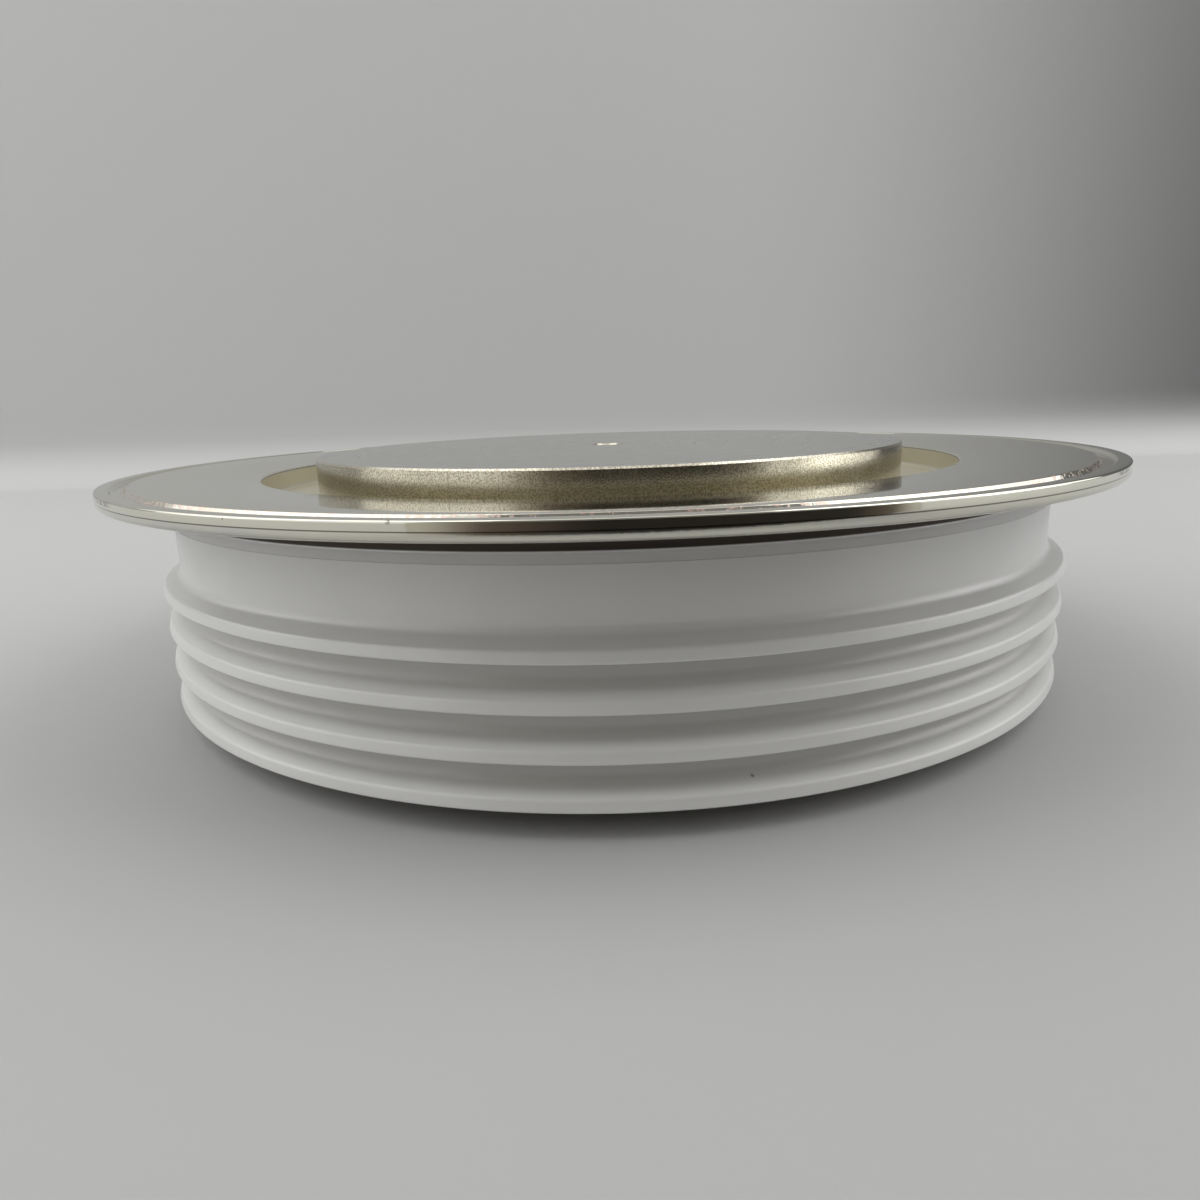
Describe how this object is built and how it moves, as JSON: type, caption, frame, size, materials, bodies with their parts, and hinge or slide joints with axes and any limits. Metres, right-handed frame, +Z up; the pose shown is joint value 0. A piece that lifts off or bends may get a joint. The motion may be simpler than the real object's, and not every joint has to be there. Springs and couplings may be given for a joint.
{
  "type": "disc thyristor",
  "caption": "Press-pack disc thyristor: nickel-plated copper poles and a welded lid flange on a white ceramic ring with sheds, full inner stack and gate contact, gate tube at the back.",
  "frame": {"origin": "centre of the lower contact face (the anode pole), on the surface that the capsule stands on", "axes": "+Z up along the capsule axis to the cathode pole; +Y to the gate tube"},
  "size_m": [0.1172, 0.1172, 0.027],
  "materials": {
    "alumina": "semi-gloss",
    "nickel_sheet": "bright nickel plate",
    "nickel_pole": "satin nickel plate",
    "silicon": "polished",
    "silicone": "matte",
    "molybdenum": "ground",
    "silver": "soft foil",
    "white_plastic": "matte",
    "gold_plate": "plated",
    "spring_steel": "drawn wire"
  },
  "bodies": {
    "root": {"ceramic_ring": "alumina", "weld_ring": "nickel_sheet", "cathode_flange": "nickel_sheet", "cathode_pole": "nickel_pole", "anode_pole": "nickel_pole", "anode_flange": "nickel_sheet", "gate_tube": "nickel_sheet", "silicon_wafer": "silicon", "edge_rubber": "silicone", "anode_molybdenum_disc": "molybdenum", "cathode_molybdenum_disc": "molybdenum", "anode_silver_shim": "silver", "cathode_silver_shim": "silver", "locating_ring": "white_plastic", "gate_cup": "white_plastic", "gate_guide": "white_plastic", "gate_pin": "gold_plate", "gate_spring": "spring_steel", "gate_lead": "gold_plate", "lead_sleeve": "white_plastic"}
  },
  "joints": []
}
